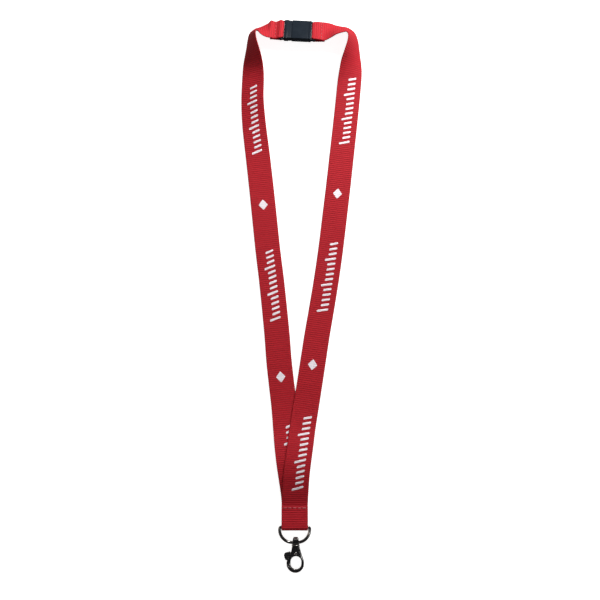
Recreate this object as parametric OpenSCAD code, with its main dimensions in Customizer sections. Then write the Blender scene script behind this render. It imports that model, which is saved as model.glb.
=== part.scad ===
// Neck lanyard with a breakaway buckle, a D-ring and a swivel trigger hook.
// It lies on a table: z = 0 is the table, +Y runs from the hook to the buckle,
// and the origin is the middle of the sewn end tab's underside.

/* [Webbing] */
// Width of the woven webbing
webbing_w = 20; // [18:0.5:22]
// Thickness of the webbing
webbing_t = 1.1; // [0.9:0.05:1.2]
// Gap between layers that are stacked or stitched
layer_gap = 0.05; // [0.03:0.01:0.1]
// Width of the webbing where it is gathered round a buckle bar
gathered_w = 17.6; // [16:0.2:17.8]

/* [Sewn end tab] */
// Length of the end tab from its seam edge to the D-ring bar's axis
tab_l = 15.8; // [12:0.2:18]
// Distance of the stitch row from the tab's seam edge
stitch_inset = 1.4; // [1:0.1:2]
// Radius of the sewing thread
thread_r = 0.28; // [0.2:0.02:0.35]
// Number of stitches in each row
stitch_count = 5; // [3:1:5]

/* [Buckle] */
// Width of the buckle across the band
buckle_w = 20.4; // [20:0.2:24]
// Thickness of the buckle
buckle_t = 4.4; // [4.2:0.1:5.5]
// Length of the socket half's box
socket_l = 16.2; // [15:0.2:18]
// Length of the plug half's shoulder
shoulder_l = 6.2; // [5:0.2:7]
// Length of the two prongs
prong_l = 13; // [11:0.5:13.5]
// Backward lean of the buckle and the band beside it
buckle_lean = 18; // [16:1:20]
// Turn of the buckle in plan
buckle_turn = -3; // [-4:1:-2]

/* [D-ring] */
// Diameter of the ring's wire
wire_d = 2.3; // [2:0.1:2.3]
// Clear width inside the ring
ring_inner_w = 20.4; // [20.4:0.2:22]
// Depth from the bar's axis to the wire's axis at the foot of the bow
ring_depth = 11.1; // [10.5:0.1:12]
// Length of the bow's straight foot, which the swivel eye turns on
ring_foot_l = 4; // [3:0.2:5]

/* [Hook] */
// Thickness of the hook's body
hook_t = 4.6; // [4:0.2:5]
// Radius of the hook's round outer bow
bow_r = 6.6; // [6.4:0.1:6.8]
// Radius of the ends of the hook's opening
opening_r = 4; // [3.8:0.1:4.1]
// Radius of the swivel shank
shank_r = 1.1; // [1:0.05:1.2]
// Radius of the trigger's pivot pin
pin_r = 0.7; // [0.6:0.05:0.8]

/* [Hidden] */
$fn = 48;
eps = 0.01;

// Running clearance round the shank and the pin
running_gap = 0.05;
red = [0.70, 0.10, 0.14];
thread_red = [0.82, 0.18, 0.22];
plastic = [0.10, 0.12, 0.15];
black_nickel = [0.16, 0.16, 0.17];

half_w = webbing_w / 2;
half_t = webbing_t / 2;
layer = webbing_t + layer_gap;

// Plan and height of the stack in the tab: rear flap, left strap, right strap, front flap
bar_z = 2.5;
bar_y = -5.8;
seam_y = bar_y + tab_l;
front_z = 3 * layer;

// ---- Webbing route -------------------------------------------------------
// A station is [position, cross direction from the loop's outer edge to its
// inner edge, width]. Where the webbing lies on the table, the outer edge
// touches it and the inner edge is raised by the tilt.
function cross_dir(heading, tilt) =
    [cos(heading) * cos(tilt), sin(heading) * cos(tilt), sin(tilt)];
function lying(x, y, lift, heading, tilt) =
    [[x, y, lift + half_w * sin(tilt) + half_t * cos(tilt)],
     cross_dir(heading, tilt), webbing_w];

// The buckle's own frame: u along the band, v towards the outer edge, w out of the face
buckle_at = [-2.8, 392.2, 5.4];
function tip_back(p) = [
    p[0],
    p[1] * cos(buckle_lean) + p[2] * sin(buckle_lean),
    p[2] * cos(buckle_lean) - p[1] * sin(buckle_lean)
];
function turn_plan(p) = [
    p[0] * cos(buckle_turn) - p[1] * sin(buckle_turn),
    p[0] * sin(buckle_turn) + p[1] * cos(buckle_turn),
    p[2]
];
function at_buckle(u, w, width = webbing_w) =
    [buckle_at + turn_plan(tip_back([u, 0, w])),
     turn_plan(tip_back([0, -1, 0])), width];

// Bars at the ends of the buckle, and the webbing's turn round each of them
bar_t = 1.8;
bar_r = bar_t / 2;
bar_l = 2.4;
slot_l = 1.25;
turn_r = bar_r + 0.1 + half_t;
plug_bar_u = -shoulder_l - slot_l - bar_r;
socket_bar_u = socket_l + slot_l + bar_r;
// Extra width of the webbing as it leaves the bar, by angle from the bar's far side
bar_spread = [[0, 0], [30, 0], [60, 0.4], [90, 1.6]];
function round_bar(bar_u, towards) =
    [for (a = [90 : -30 : -90])
        at_buckle(bar_u + towards * turn_r * cos(a), turn_r * sin(a),
            gathered_w + lookup(abs(a), bar_spread))];

// Left strap: from inside the tab, up to the corner and along to the plug.
// Each strap is one length of webbing, modelled in runs that meet end to end.
left_lower_route = [
    lying(0, -2.6, layer, 0, 0),
    lying(0, 3, layer, 0, 0),
    lying(0, 10.6, layer, 0, 0),
    lying(-0.1, 13, 1.5, 0, 0),
    lying(-0.4, 17, 2.6, 0, 0),
    lying(-1, 22, 4.1, 2, 0),
    lying(-1.9, 28, 5.8, 3, 0),
    lying(-2.8, 34, 7, 4, 0),
    lying(-3.7, 40, 7.5, 4, 0),
    lying(-4.5, 46, 7.2, 5, 0),
    lying(-5.7, 56, 5.2, 5, 0),
    lying(-6.8, 68, 2.2, 5, 0),
    lying(-8.2, 84, 0.3, 6, 0),
    lying(-10.6, 104, 0, 6, 0),
    lying(-12.4, 119.8, 0, 6, 0)
];
left_middle_route = [
    lying(-12.4, 120.2, 0, 6, 0),
    lying(-14, 140, 0, 5, 0),
    lying(-16, 160, 0, 5, 0),
    lying(-18.6, 184, 0, 6, 0),
    lying(-21.6, 208, 0, 6, 0),
    lying(-24.2, 232, 0, 6, 0),
    lying(-27, 258, 0, 6, 0),
    lying(-30, 283.8, 0, 6, 3)
];
left_upper_route = concat([
    lying(-30, 284.2, 0, 6, 3),
    lying(-33.4, 312, 0, 4, 12),
    lying(-34.8, 332, 0, 1, 20),
    lying(-34.6, 348, 0, 0, 22),
    lying(-34.5, 357, 0, 0, 27),
    lying(-34.8, 365, 0, 0, 37),
    lying(-35.3, 372, 0, 0, 51),
    lying(-35.8, 379, 0, 0, 63),
    lying(-35.7, 385, 0, -9, 68),
    lying(-34.4, 389.4, 0, -38, 64),
    lying(-32, 391, 0, -68, 58),
    lying(-29, 391.2, 0, -85, 50),
    lying(-26, 391.6, 0.1, -90, 40),
    lying(-22.8, 392.4, 0.6, -93, 30),
    at_buckle(-17.6, 0.7, 19.2),
    at_buckle(-14.6, -0.1, 19),
    at_buckle(-12.3, 0.05, 19.2),
    at_buckle(-9.7, 1.55, 19.8)
], round_bar(plug_bar_u, 1), [
    at_buckle(-9.7, -1.5, 18.8),
    at_buckle(-12.3, -1.3, 19),
    at_buckle(-14.8, -1.2, 18.8),
    at_buckle(-17.6, -1.4, 18.4)
]);

// Right strap: over the left one in the tab, up to the other corner and to the socket
right_lower_route = [
    lying(0, -2.6, 2 * layer, 180, 0),
    lying(0, 3, 2 * layer, 180, 0),
    lying(0, 10.6, 2 * layer, 180, 0),
    lying(0.1, 13, 2.75, 180, 0),
    lying(0.3, 17, 3.95, 180, 0),
    lying(0.6, 22, 5.5, 180, 0),
    lying(1, 28, 7.2, 180, 0),
    lying(1.5, 34, 8.4, 179, 0),
    lying(2.2, 40, 8.9, 178, 0),
    lying(3, 46, 8.6, 177, 0),
    lying(4.4, 56, 6.6, 175, 0),
    lying(6, 68, 3.55, 173, 0),
    lying(8.6, 84, 1.65, 172, 0),
    lying(11.8, 104, 1.2, 172, 0),
    lying(14.6, 122, 0.8, 172, 0),
    lying(17.4, 140, 0.3, 172, 0),
    lying(20.9, 160, 0, 171, 0),
    lying(24.9, 184, 0, 171, 0),
    lying(28.4, 208, 0, 172, 0),
    lying(31.4, 232, 0, 173, 0),
    lying(34.6, 258, 0, 173, 0),
    lying(37.6, 283.8, 0, 173, 0)
];
right_upper_route = concat([
    lying(37.6, 284.2, 0, 173, 0),
    lying(40.8, 312, 0, 174, 0),
    lying(43, 332, 0, 174, 2),
    lying(44.6, 348, 0, 175, 8),
    lying(45.6, 357, 0, 176, 18),
    lying(46.2, 364, 0, 178, 30),
    lying(47, 371, 0, 180, 46),
    lying(47.8, 378, 0, 181, 58),
    lying(47.6, 384, 0, 193, 62),
    lying(45.6, 389, 0, 222, 58),
    lying(42, 391.4, 0, 250, 53),
    lying(37.4, 391.8, 0, 264, 49),
    lying(33.4, 391.9, 0.2, 268, 42),
    lying(29.6, 391.8, 0.8, 267, 30),
    at_buckle(27.5, 0.9),
    at_buckle(24, 1.3, 19.6),
    at_buckle(21.6, 1.6, 19.4),
    at_buckle(19.7, 1.6, 19.2)
], round_bar(socket_bar_u, -1), [
    at_buckle(19.7, -1.5, 18.8),
    at_buckle(22.4, -1.3, 19),
    at_buckle(25, -1.2, 18.8),
    at_buckle(27.6, -1.2, 18.4)
]);

// ---- Ribbon sweep --------------------------------------------------------
function unit(v) = v / norm(v);
function tangent(route, i) =
    route[min(i + 1, len(route) - 1)][0] - route[max(i - 1, 0)][0];
// Corners of the webbing's section at a station, front face first
function section_at(route, i, side) =
    let (
        c = unit(route[i][1]),
        n = unit(side * cross(c, tangent(route, i))) * half_t,
        h = c * route[i][2] / 2,
        p = route[i][0]
    )
    [p - h + n, p + h + n, p + h - n, p - h - n];
// side = 1 where the loop's inner edge is to the right along the route, -1 to the left
module ribbon(route, side) {
    rings = [for (i = [0 : len(route) - 1]) each section_at(route, i, side)];
    last = 4 * (len(route) - 1);
    walls = [for (i = [0 : len(route) - 2]) for (k = [0 : 3])
        let (a = 4 * i + k, b = 4 * i + (k + 1) % 4)
        each [[a, b, b + 4], [a, b + 4, a + 4]]];
    ends = [[3, 2, 1], [3, 1, 0], [last, last + 1, last + 2], [last, last + 2, last + 3]];
    triangles = [for (f = concat(walls, ends)) side > 0 ? f : [f[2], f[1], f[0]]];
    polyhedron(points = rings, faces = triangles, convexity = 10);
}

// One stitch: a short bar of thread along its own X
stitch_l = 2.2;
stitch_pitch = 3.6;
module stitch_row() {
    for (i = [0 : stitch_count - 1])
        translate([(i - (stitch_count - 1) / 2) * stitch_pitch, 0, 0])
            rotate([0, 90, 0])
                cylinder(r = thread_r, h = stitch_l, center = true, $fn = 24);
}

module in_buckle_frame() {
    translate(buckle_at)
        rotate([0, 0, buckle_turn])
            rotate([-buckle_lean, 0, 0])
                children();
}

// ---- Webbing parts -------------------------------------------------------
module strap_left_lower() {
    color(red) ribbon(left_lower_route, 1);
}

module strap_left_middle() {
    color(red) ribbon(left_middle_route, 1);
}

module strap_left_upper() {
    color(red) ribbon(left_upper_route, 1);
}

module strap_right_lower() {
    color(red) ribbon(right_lower_route, -1);
}

module strap_right_upper() {
    color(red) ribbon(right_upper_route, -1);
}

// Short folded strip that holds the D-ring's bar and both strap ends
function fold_arc(r) = [for (a = [90 : 10 : 270]) [bar_y + r * cos(a), bar_z + r * sin(a)]];
module end_tab() {
    inner_r = bar_z - webbing_t;
    slope_y = [bar_y + 4, seam_y - 4];
    arc_back = fold_arc(inner_r);
    last = len(arc_back) - 1;
    color(red)
        translate([-half_w, 0, 0])
            rotate([90, 0, 90])
                linear_extrude(webbing_w)
                    polygon(concat(
                        [[seam_y, front_z], [seam_y, front_z + webbing_t],
                         [slope_y[1], front_z + webbing_t], [slope_y[0], 2 * bar_z - 0.1]],
                        fold_arc(bar_z),
                        [[seam_y, 0], [seam_y, webbing_t]],
                        [for (i = [last : -1 : 0]) arc_back[i]],
                        [[slope_y[0], 2 * bar_z - 0.1 - webbing_t], [slope_y[1], front_z]]
                    ));
}

module tab_stitching() {
    color(thread_red)
        translate([0, seam_y - stitch_inset, front_z + webbing_t + thread_r + 0.02])
            stitch_row();
}

// Rows of stitches that close the webbing's loop behind each buckle bar
module buckle_stitching(u, w) {
    color(thread_red)
        in_buckle_frame()
            translate([u, 0, w + half_t + thread_r + 0.12])
                rotate([0, 0, 90])
                    stitch_row();
}

module buckle_stitching_left() {
    buckle_stitching(-13.3, 0.06);
}

module buckle_stitching_right() {
    buckle_stitching(24.6, 1.24);
}

// ---- Buckle --------------------------------------------------------------
edge_r = 0.8;
rail_w = (buckle_w - 18.2) / 2;

// A plate with rounded long edges, from u0 to u1
module rounded_box(u0, u1, w, t, r = edge_r) {
    translate([u0, 0, 0])
        rotate([90, 0, 90])
            linear_extrude(u1 - u0) {
                square([w - 2 * r, t], center = true);
                square([w, t - 2 * r], center = true);
                for (sx = [-1, 1])
                    for (sy = [-1, 1])
                        translate([sx * (w / 2 - r), sy * (t / 2 - r)])
                            circle(r = r, $fn = 24);
            }
}

// Two side rails and the round-edged bar that the webbing turns round
module end_frame(start_u, towards) {
    bar_far = start_u + towards * (slot_l + bar_l);
    u0 = min(start_u, bar_far);
    u1 = max(start_u, bar_far);
    bar_near = towards > 0 ? u1 - bar_l : u0;
    for (s = [-1, 1])
        translate([u0, s * (buckle_w / 2 - rail_w / 2) - rail_w / 2, -bar_r])
            cube([u1 - u0, rail_w, bar_t]);
    translate([bar_near + bar_r, -buckle_w / 2 + eps, -bar_r])
        cube([bar_l - bar_t, buckle_w - 2 * eps, bar_t]);
    for (u = [bar_near + bar_r, bar_near + bar_l - bar_r])
        translate([u, 0, 0])
            rotate([90, 0, 0])
                cylinder(r = bar_r, h = buckle_w - 2 * eps, center = true);
}

// Cavity of the socket, and the windows that the prong catches sit in
cavity_w = 16.4;
cavity_t = 2.2;
wall_gap = 0.2;
prong_w = 3.6;
catch_u = prong_l - 3.2;

module buckle_plug() {
    prong_t = cavity_t - 2 * wall_gap;
    prong_v = cavity_w / 2 - wall_gap - 0.6 - prong_w / 2;
    color(plastic)
        in_buckle_frame() {
            rounded_box(-shoulder_l, -0.1, buckle_w, buckle_t);
            end_frame(-shoulder_l, -1);
            for (s = [-1, 1]) {
                translate([-0.2, s * prong_v - prong_w / 2, -prong_t / 2])
                    cube([prong_l, prong_w, prong_t]);
                // Catch on the prong's outer edge
                translate([0, s * (prong_v + prong_w / 2), -prong_t / 2])
                    linear_extrude(prong_t)
                        polygon([
                            [catch_u - 0.2, s * -0.1], [catch_u, s * 0.6],
                            [catch_u + 0.8, s * 0.6], [prong_l - 0.4, s * -0.1]
                        ]);
            }
        }
}

module buckle_socket() {
    color(plastic)
        in_buckle_frame()
            difference() {
                union() {
                    rounded_box(0, socket_l, buckle_w, buckle_t);
                    end_frame(socket_l, 1);
                }
                translate([-1, -cavity_w / 2, -cavity_t / 2])
                    cube([prong_l + 1.6, cavity_w, cavity_t]);
            }
}

// ---- D-ring --------------------------------------------------------------
// A bar, two elbows and two bows that meet a straight foot, each tangent to the next
wire_r = wire_d / 2;
ring_half = ring_inner_w / 2 + wire_r;
elbow_r = 1.3;
elbow_x = ring_half - elbow_r;
elbow_drop = ring_depth - elbow_r;
foot_x = ring_foot_l / 2;
bow_span = elbow_x - foot_x;
bow_arc_r = (bow_span * bow_span + elbow_drop * elbow_drop - elbow_r * elbow_r)
    / (2 * (elbow_drop - elbow_r));
bow_centre_y = bar_y - ring_depth + bow_arc_r;
bow_end = atan2(bow_arc_r - elbow_drop, bow_span);

module wire_arc(r, start, sweep) {
    rotate_extrude(angle = sweep, start = start)
        translate([r, 0]) circle(r = wire_r);
}

module wire_rod(y, l) {
    translate([0, y, 0])
        rotate([0, 90, 0])
            cylinder(r = wire_r, h = l, center = true);
}

module d_ring() {
    color(black_nickel)
        translate([0, 0, bar_z]) {
            wire_rod(bar_y, 2 * elbow_x);
            wire_rod(bar_y - ring_depth, ring_foot_l);
            translate([elbow_x, bar_y - elbow_r, 0])
                wire_arc(elbow_r, -bow_end, 90 + bow_end);
            translate([-elbow_x, bar_y - elbow_r, 0])
                wire_arc(elbow_r, 90, 90 + bow_end);
            translate([foot_x, bow_centre_y, 0])
                wire_arc(bow_arc_r, -90, 90 - bow_end);
            translate([-foot_x, bow_centre_y, 0])
                wire_arc(bow_arc_r, 180 + bow_end, 90 - bow_end);
        }
}

// ---- Swivel eye ----------------------------------------------------------
hook_x = 0.8;
hook_z = 3;
eye_r = 3;
eye_hole_r = 2;
eye_w = 4.6;
eye_top_y = -12.8;
eye_foot_y = -18.4;
hook_top_y = -19.3;
collar_r = 2.6;
neck_l = 2.1;
head_r = 1.6;
head_l = 0.7;

// A round-ended bar across the hook's plane, from y0 down to y1
module eye_slot(r, y0, y1, w) {
    rotate([0, 90, 0])
        linear_extrude(w, center = true) {
            for (y = [y0 - r, y1 + r])
                translate([0, y]) circle(r = r);
            translate([-r, y1 + r]) square([2 * r, y0 - y1 - 2 * r]);
        }
}

module shank_section(r, y0, l) {
    translate([0, y0, 0])
        rotate([90, 0, 0])
            cylinder(r = r, h = l);
}

module swivel_eye() {
    collar_l = hook_top_y + 0.1 - eye_foot_y;
    color(black_nickel)
        translate([hook_x, 0, hook_z]) {
            difference() {
                union() {
                    eye_slot(eye_r, eye_top_y, hook_top_y + 0.1, eye_w);
                    shank_section(collar_r, eye_foot_y, -collar_l);
                }
                eye_slot(eye_hole_r, eye_top_y - eye_r + eye_hole_r, eye_foot_y, eye_w + 1);
            }
            shank_section(shank_r, hook_top_y + 0.2, neck_l + 0.3);
            shank_section(head_r, hook_top_y - neck_l - 0.1, head_l);
        }
}

// ---- Hook ----------------------------------------------------------------
bow_y = -32;
opening_top_y = -26.5;
opening_foot_y = -36.3;
pivot = [-0.2, -24.9];
lever_t = 1.8;
fork_gap = 2;
hub_r = 1.7;
cheek_r = 3.7;
gate_r = 10.2;
gate_gap = 0.2;

module about_pivot(r) {
    translate(pivot) circle(r = r);
}

// The opening that the hook goes round
module opening_2d() {
    for (y = [opening_top_y - opening_r, opening_foot_y + opening_r])
        translate([0.2, y]) circle(r = opening_r);
    translate([0.2 - opening_r, opening_foot_y + opening_r])
        square([2 * opening_r, opening_top_y - opening_foot_y - 2 * opening_r]);
}

// The hook's whole silhouette with the gate shut
module silhouette_2d() {
    translate([-0.3, bow_y]) circle(r = bow_r);
    polygon([
        [-2.4, hook_top_y], [-2.9, hook_top_y - 0.6], [-3.2, -22.4],
        [-3.9, -24.6], [-5.2, -27], [-6.5, -29.5], [-6.9, bow_y],
        [6.3, bow_y], [5.9, -29.5], [4.9, -26.6], [3.9, -23.6], [3.2, -21.4],
        [2.9, hook_top_y - 0.6], [2.4, hook_top_y]
    ]);
}

// Where the gate's finger and its web run: left of the opening, below the pivot
module gate_zone_2d() {
    polygon([
        [-12, -22.9], [pivot[0], -22.9], [pivot[0], -28],
        [-2, -38], [-12, -38]
    ]);
}

module hook_body() {
    color(black_nickel)
        translate([hook_x, 0, hook_z])
            difference() {
                linear_extrude(hook_t, center = true)
                    difference() {
                        silhouette_2d();
                        opening_2d();
                        // Window for the gate, outside the cheeks and inside the hook's tip
                        intersection() {
                            gate_zone_2d();
                            difference() {
                                about_pivot(gate_r + gate_gap);
                                about_pivot(cheek_r);
                            }
                        }
                    }
                // Slot between the two cheeks for the lever's hub and web
                linear_extrude(fork_gap, center = true) {
                    about_pivot(hub_r + 0.9);
                    intersection() {
                        gate_zone_2d();
                        about_pivot(cheek_r + 1);
                    }
                }
                translate([pivot[0], pivot[1], 0])
                    cylinder(r = pin_r, h = hook_t + 2, center = true);
                shank_section(shank_r + running_gap, hook_top_y + 1, neck_l + 1);
                shank_section(head_r + 0.15, hook_top_y - neck_l + eps, head_l + 0.4);
            }
}

module trigger_lever() {
    finger_t = 3.8;
    knob_r = 1.8;
    knob_ends = [[-7.1, -26], [-6.5, -27.8]];
    color(black_nickel)
        translate([hook_x, 0, hook_z])
            difference() {
                union() {
                    // Finger that shuts the opening
                    linear_extrude(finger_t, center = true)
                        intersection() {
                            difference() {
                                silhouette_2d();
                                opening_2d();
                            }
                            gate_zone_2d();
                            difference() {
                                about_pivot(gate_r);
                                about_pivot(cheek_r + gate_gap);
                            }
                        }
                    // Thumb knob
                    linear_extrude(finger_t, center = true)
                        difference() {
                            union() {
                                for (at = knob_ends)
                                    translate(at) circle(r = knob_r);
                                polygon([
                                    [-7.4, -24.1], [-4.2, -23.4], [-4.4, -28.6],
                                    [-5.2, -29.1], [-8.2, -28.4], [-8.9, -26.4]
                                ]);
                            }
                            about_pivot(cheek_r + gate_gap);
                        }
                    // Thin web and hub between the cheeks
                    linear_extrude(lever_t, center = true) {
                        about_pivot(hub_r);
                        polygon([
                            pivot + [0, hub_r - 0.1], [-4.4, -24],
                            [-4.8, -27], pivot + [-0.4, 0.1 - hub_r]
                        ]);
                    }
                }
                translate([pivot[0], pivot[1], 0])
                    cylinder(r = pin_r + running_gap, h = hook_t + 2, center = true);
            }
}

module trigger_pin() {
    color(black_nickel)
        translate([hook_x + pivot[0], pivot[1], hook_z])
            cylinder(r = pin_r, h = hook_t + 0.3, center = true);
}

// C-shaped wire spring round the lever's hub
module trigger_spring() {
    spring_wire_r = 0.28;
    color([0.6, 0.6, 0.6])
        translate([hook_x + pivot[0], pivot[1], hook_z])
            rotate_extrude(angle = 180, start = -60)
                translate([hub_r + 0.1 + spring_wire_r, 0])
                    circle(r = spring_wire_r, $fn = 16);
}

strap_left_lower();
strap_left_middle();
strap_left_upper();
strap_right_lower();
strap_right_upper();
end_tab();
tab_stitching();
buckle_stitching_left();
buckle_stitching_right();
buckle_plug();
buckle_socket();
d_ring();
swivel_eye();
hook_body();
trigger_lever();
trigger_pin();
trigger_spring();
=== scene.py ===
"""Looks of a neck lanyard: ribbed webbing, breakaway buckle, D-ring and swivel trigger hook.

Lengths are millimetres in the part's own frame until a mesh is made, which is in metres.
"""

import math

import bmesh
import bpy
import numpy as np
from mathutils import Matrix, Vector

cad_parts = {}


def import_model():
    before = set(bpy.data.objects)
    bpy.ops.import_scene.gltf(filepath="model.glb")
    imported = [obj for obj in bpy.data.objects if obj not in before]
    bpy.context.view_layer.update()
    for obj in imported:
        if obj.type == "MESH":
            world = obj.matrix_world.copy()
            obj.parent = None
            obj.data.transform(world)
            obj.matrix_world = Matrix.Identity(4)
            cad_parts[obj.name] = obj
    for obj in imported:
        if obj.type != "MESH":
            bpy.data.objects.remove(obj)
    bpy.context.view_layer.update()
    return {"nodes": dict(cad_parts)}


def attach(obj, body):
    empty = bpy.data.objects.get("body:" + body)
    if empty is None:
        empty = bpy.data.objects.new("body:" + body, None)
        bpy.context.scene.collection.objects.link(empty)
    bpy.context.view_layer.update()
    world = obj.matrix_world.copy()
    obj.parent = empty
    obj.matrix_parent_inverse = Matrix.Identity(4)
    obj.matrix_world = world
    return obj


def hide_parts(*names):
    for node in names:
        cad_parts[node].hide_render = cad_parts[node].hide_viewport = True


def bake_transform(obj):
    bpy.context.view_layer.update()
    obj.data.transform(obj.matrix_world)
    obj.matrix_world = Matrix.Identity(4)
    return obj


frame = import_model()
MM = 0.001

# ---------------------------------------------------------------- dimensions
WEBBING_W = 20.0
WEBBING_T = 1.1
LAYER = 1.15                  # pitch of stacked layers
GATHERED_W = 17.6             # webbing width round a buckle bar
BAR_SPREAD = {90: 1.6, 60: 0.4}   # extra width, by degrees round the bar from its slot side
RIB_PITCH = 1.65
RIB_DEPTH = 0.19
RINGS_PER_RIB = 8
YARN_PITCH = 0.62
EDGE_SCALLOP = 0.16

BUCKLE_AT = np.array([-2.8, 392.2, 5.4])
BUCKLE_LEAN = math.radians(18)
BUCKLE_TURN = math.radians(-3)
BUCKLE_W = 20.4
BUCKLE_T = 4.4
SOCKET_L = 16.2
SHOULDER_L = 6.2
PRONG_L = 13.0
PRONG_W = 3.6
PRONG_T = 1.8
CAVITY_W = 16.4
CAVITY_T = 2.2
SLOT_W = 18.2                 # inside width between the rails, where the webbing passes
SLOT_L = 1.25
BAR_L = 2.4
BAR_R = 0.9
TURN_R = BAR_R + 0.1 + WEBBING_T / 2
PLUG_BAR_U = -SHOULDER_L - SLOT_L - BAR_R
SOCKET_BAR_U = SOCKET_L + SLOT_L + BAR_R

BAR_Y = -5.8
BAR_Z = 2.5
TAB_L = 15.8
SEAM_Y = BAR_Y + TAB_L
WIRE_R = 1.15
RING_INNER_W = 20.4
RING_DEPTH = 11.1
RING_FOOT_L = 4.0
ELBOW_R = 1.3

HOOK_X = 0.8
HOOK_Z = 3.0
PIVOT = (HOOK_X - 0.2, -24.9)
RIVET_SIDES = 32
BOW_Y = -31.7                 # centre of the hook's bow
BOW_R = 5.4
BOW_HALF_W = 1.9
COLLAR_Y = -18.85
EYE_FOOT_Y = -17.3            # where the eye starts to narrow, and over what height
EYE_RISE = 4.6
KNOB_X = -4.6                 # where the thumb knob starts, from the hook's middle
KNOB_END_Y = -29.2
GROOVE_Y = -24.2              # where one of the knob's finger grooves starts
GROOVE_PITCH = 1.5


# ---------------------------------------------------------------- small maths
def unit(v):
    return v / np.linalg.norm(v, axis=-1, keepdims=True)


def in_buckle(u, v, w):
    """A point of the buckle's own frame (u along the band, v outwards, w out of its face)."""
    c, s = math.cos(BUCKLE_LEAN), math.sin(BUCKLE_LEAN)
    u, v, w = np.broadcast_arrays(np.asarray(u, float), np.asarray(v, float), np.asarray(w, float))
    y, z = v * c + w * s, w * c - v * s
    ct, st = math.cos(BUCKLE_TURN), math.sin(BUCKLE_TURN)
    return np.stack([u * ct - y * st, u * st + y * ct, z], axis=-1) + BUCKLE_AT


def hermite(knots, values, at):
    """Smooth curve through values at knots (Catmull-Rom tangents), read at the given places."""
    slope = np.empty_like(values)
    slope[1:-1] = (values[2:] - values[:-2]) / (knots[2:] - knots[:-2])[:, None]
    slope[0] = (values[1] - values[0]) / (knots[1] - knots[0])
    slope[-1] = (values[-1] - values[-2]) / (knots[-1] - knots[-2])
    i = np.clip(np.searchsorted(knots, at, side="right") - 1, 0, len(knots) - 2)
    step = (knots[i + 1] - knots[i])[:, None]
    t = ((at - knots[i])[:, None]) / step
    return (
        (2 * t**3 - 3 * t**2 + 1) * values[i]
        + (t**3 - 2 * t**2 + t) * step * slope[i]
        + (3 * t**2 - 2 * t**3) * values[i + 1]
        + (t**3 - t**2) * step * slope[i + 1]
    )


# ---------------------------------------------------------------- webbing routes
def lying(x, y, lift, heading, tilt):
    """A station (place, cross direction, width) whose outer edge is lift above the table.

    heading turns the cross direction in plan and tilt stands the webbing up, in degrees.
    """
    h, a = math.radians(heading), math.radians(tilt)
    z = lift + WEBBING_W / 2 * math.sin(a) + WEBBING_T / 2 * math.cos(a)
    cross = (math.cos(h) * math.cos(a), math.sin(h) * math.cos(a), math.sin(a))
    return (x, y, z), cross, WEBBING_W


def at_buckle(u, w, width=WEBBING_W):
    """A station straight across the buckle, w out of its middle plane."""
    across = in_buckle(0, -1, 0) - BUCKLE_AT
    return tuple(in_buckle(u, 0, w)), tuple(across), width


def round_bar(bar_u, towards):
    """Stations of the webbing's turn round a buckle bar."""
    found = []
    for degrees in range(90, -91, -30):
        a = math.radians(degrees)
        width = GATHERED_W + BAR_SPREAD.get(abs(degrees), 0)
        found.append(
            at_buckle(bar_u + towards * TURN_R * math.cos(a), TURN_R * math.sin(a), width)
        )
    return found


LEFT_ROUTE = [
    lying(0, -2.6, LAYER, 0, 0),
    lying(0, 3, LAYER, 0, 0),
    lying(0, 10.6, LAYER, 0, 0),
    lying(-0.1, 13, 1.5, 0, 0),
    lying(-0.4, 17, 2.6, 0, 0),
    lying(-1, 22, 4.1, 2, 0),
    lying(-1.9, 28, 5.8, 3, 0),
    lying(-2.8, 34, 7, 4, 0),
    lying(-3.7, 40, 7.5, 4, 0),
    lying(-4.5, 46, 7.2, 5, 0),
    lying(-5.7, 56, 5.2, 5, 0),
    lying(-6.8, 68, 2.2, 5, 0),
    lying(-8.2, 84, 0.3, 6, 0),
    lying(-10.6, 104, 0, 6, 0),
    lying(-12.4, 120, 0, 6, 0),
    lying(-14, 140, 0, 5, 0),
    lying(-16, 160, 0, 5, 0),
    lying(-18.6, 184, 0, 6, 0),
    lying(-21.6, 208, 0, 6, 0),
    lying(-24.2, 232, 0, 6, 0),
    lying(-27, 258, 0, 6, 0),
    lying(-30, 284, 0, 6, 3),
    lying(-33.4, 312, 0, 4, 12),
    lying(-34.8, 332, 0, 1, 20),
    lying(-34.6, 348, 0, 0, 22),
    lying(-34.5, 357, 0, 0, 27),
    lying(-34.8, 365, 0, 0, 37),
    lying(-35.3, 372, 0, 0, 51),
    lying(-35.8, 379, 0, 0, 63),
    lying(-35.7, 385, 0, -9, 68),
    lying(-34.4, 389.4, 0, -38, 64),
    lying(-32, 391, 0, -68, 58),
    lying(-29, 391.2, 0, -85, 50),
    lying(-26, 391.6, 0.1, -90, 40),
    lying(-22.8, 392.4, 0.6, -93, 30),
    at_buckle(-17.6, 0.7, 19.2),
    at_buckle(-14.6, -0.1, 19),
    at_buckle(-12.3, 0.05, 19.2),
    at_buckle(-9.7, 1.55, 19.8),
    *round_bar(PLUG_BAR_U, 1),
    at_buckle(-9.7, -1.5, 18.8),
    at_buckle(-12.3, -1.3, 19),
    at_buckle(-14.8, -1.2, 18.8),
    at_buckle(-17.6, -1.4, 18.4),
]
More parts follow.
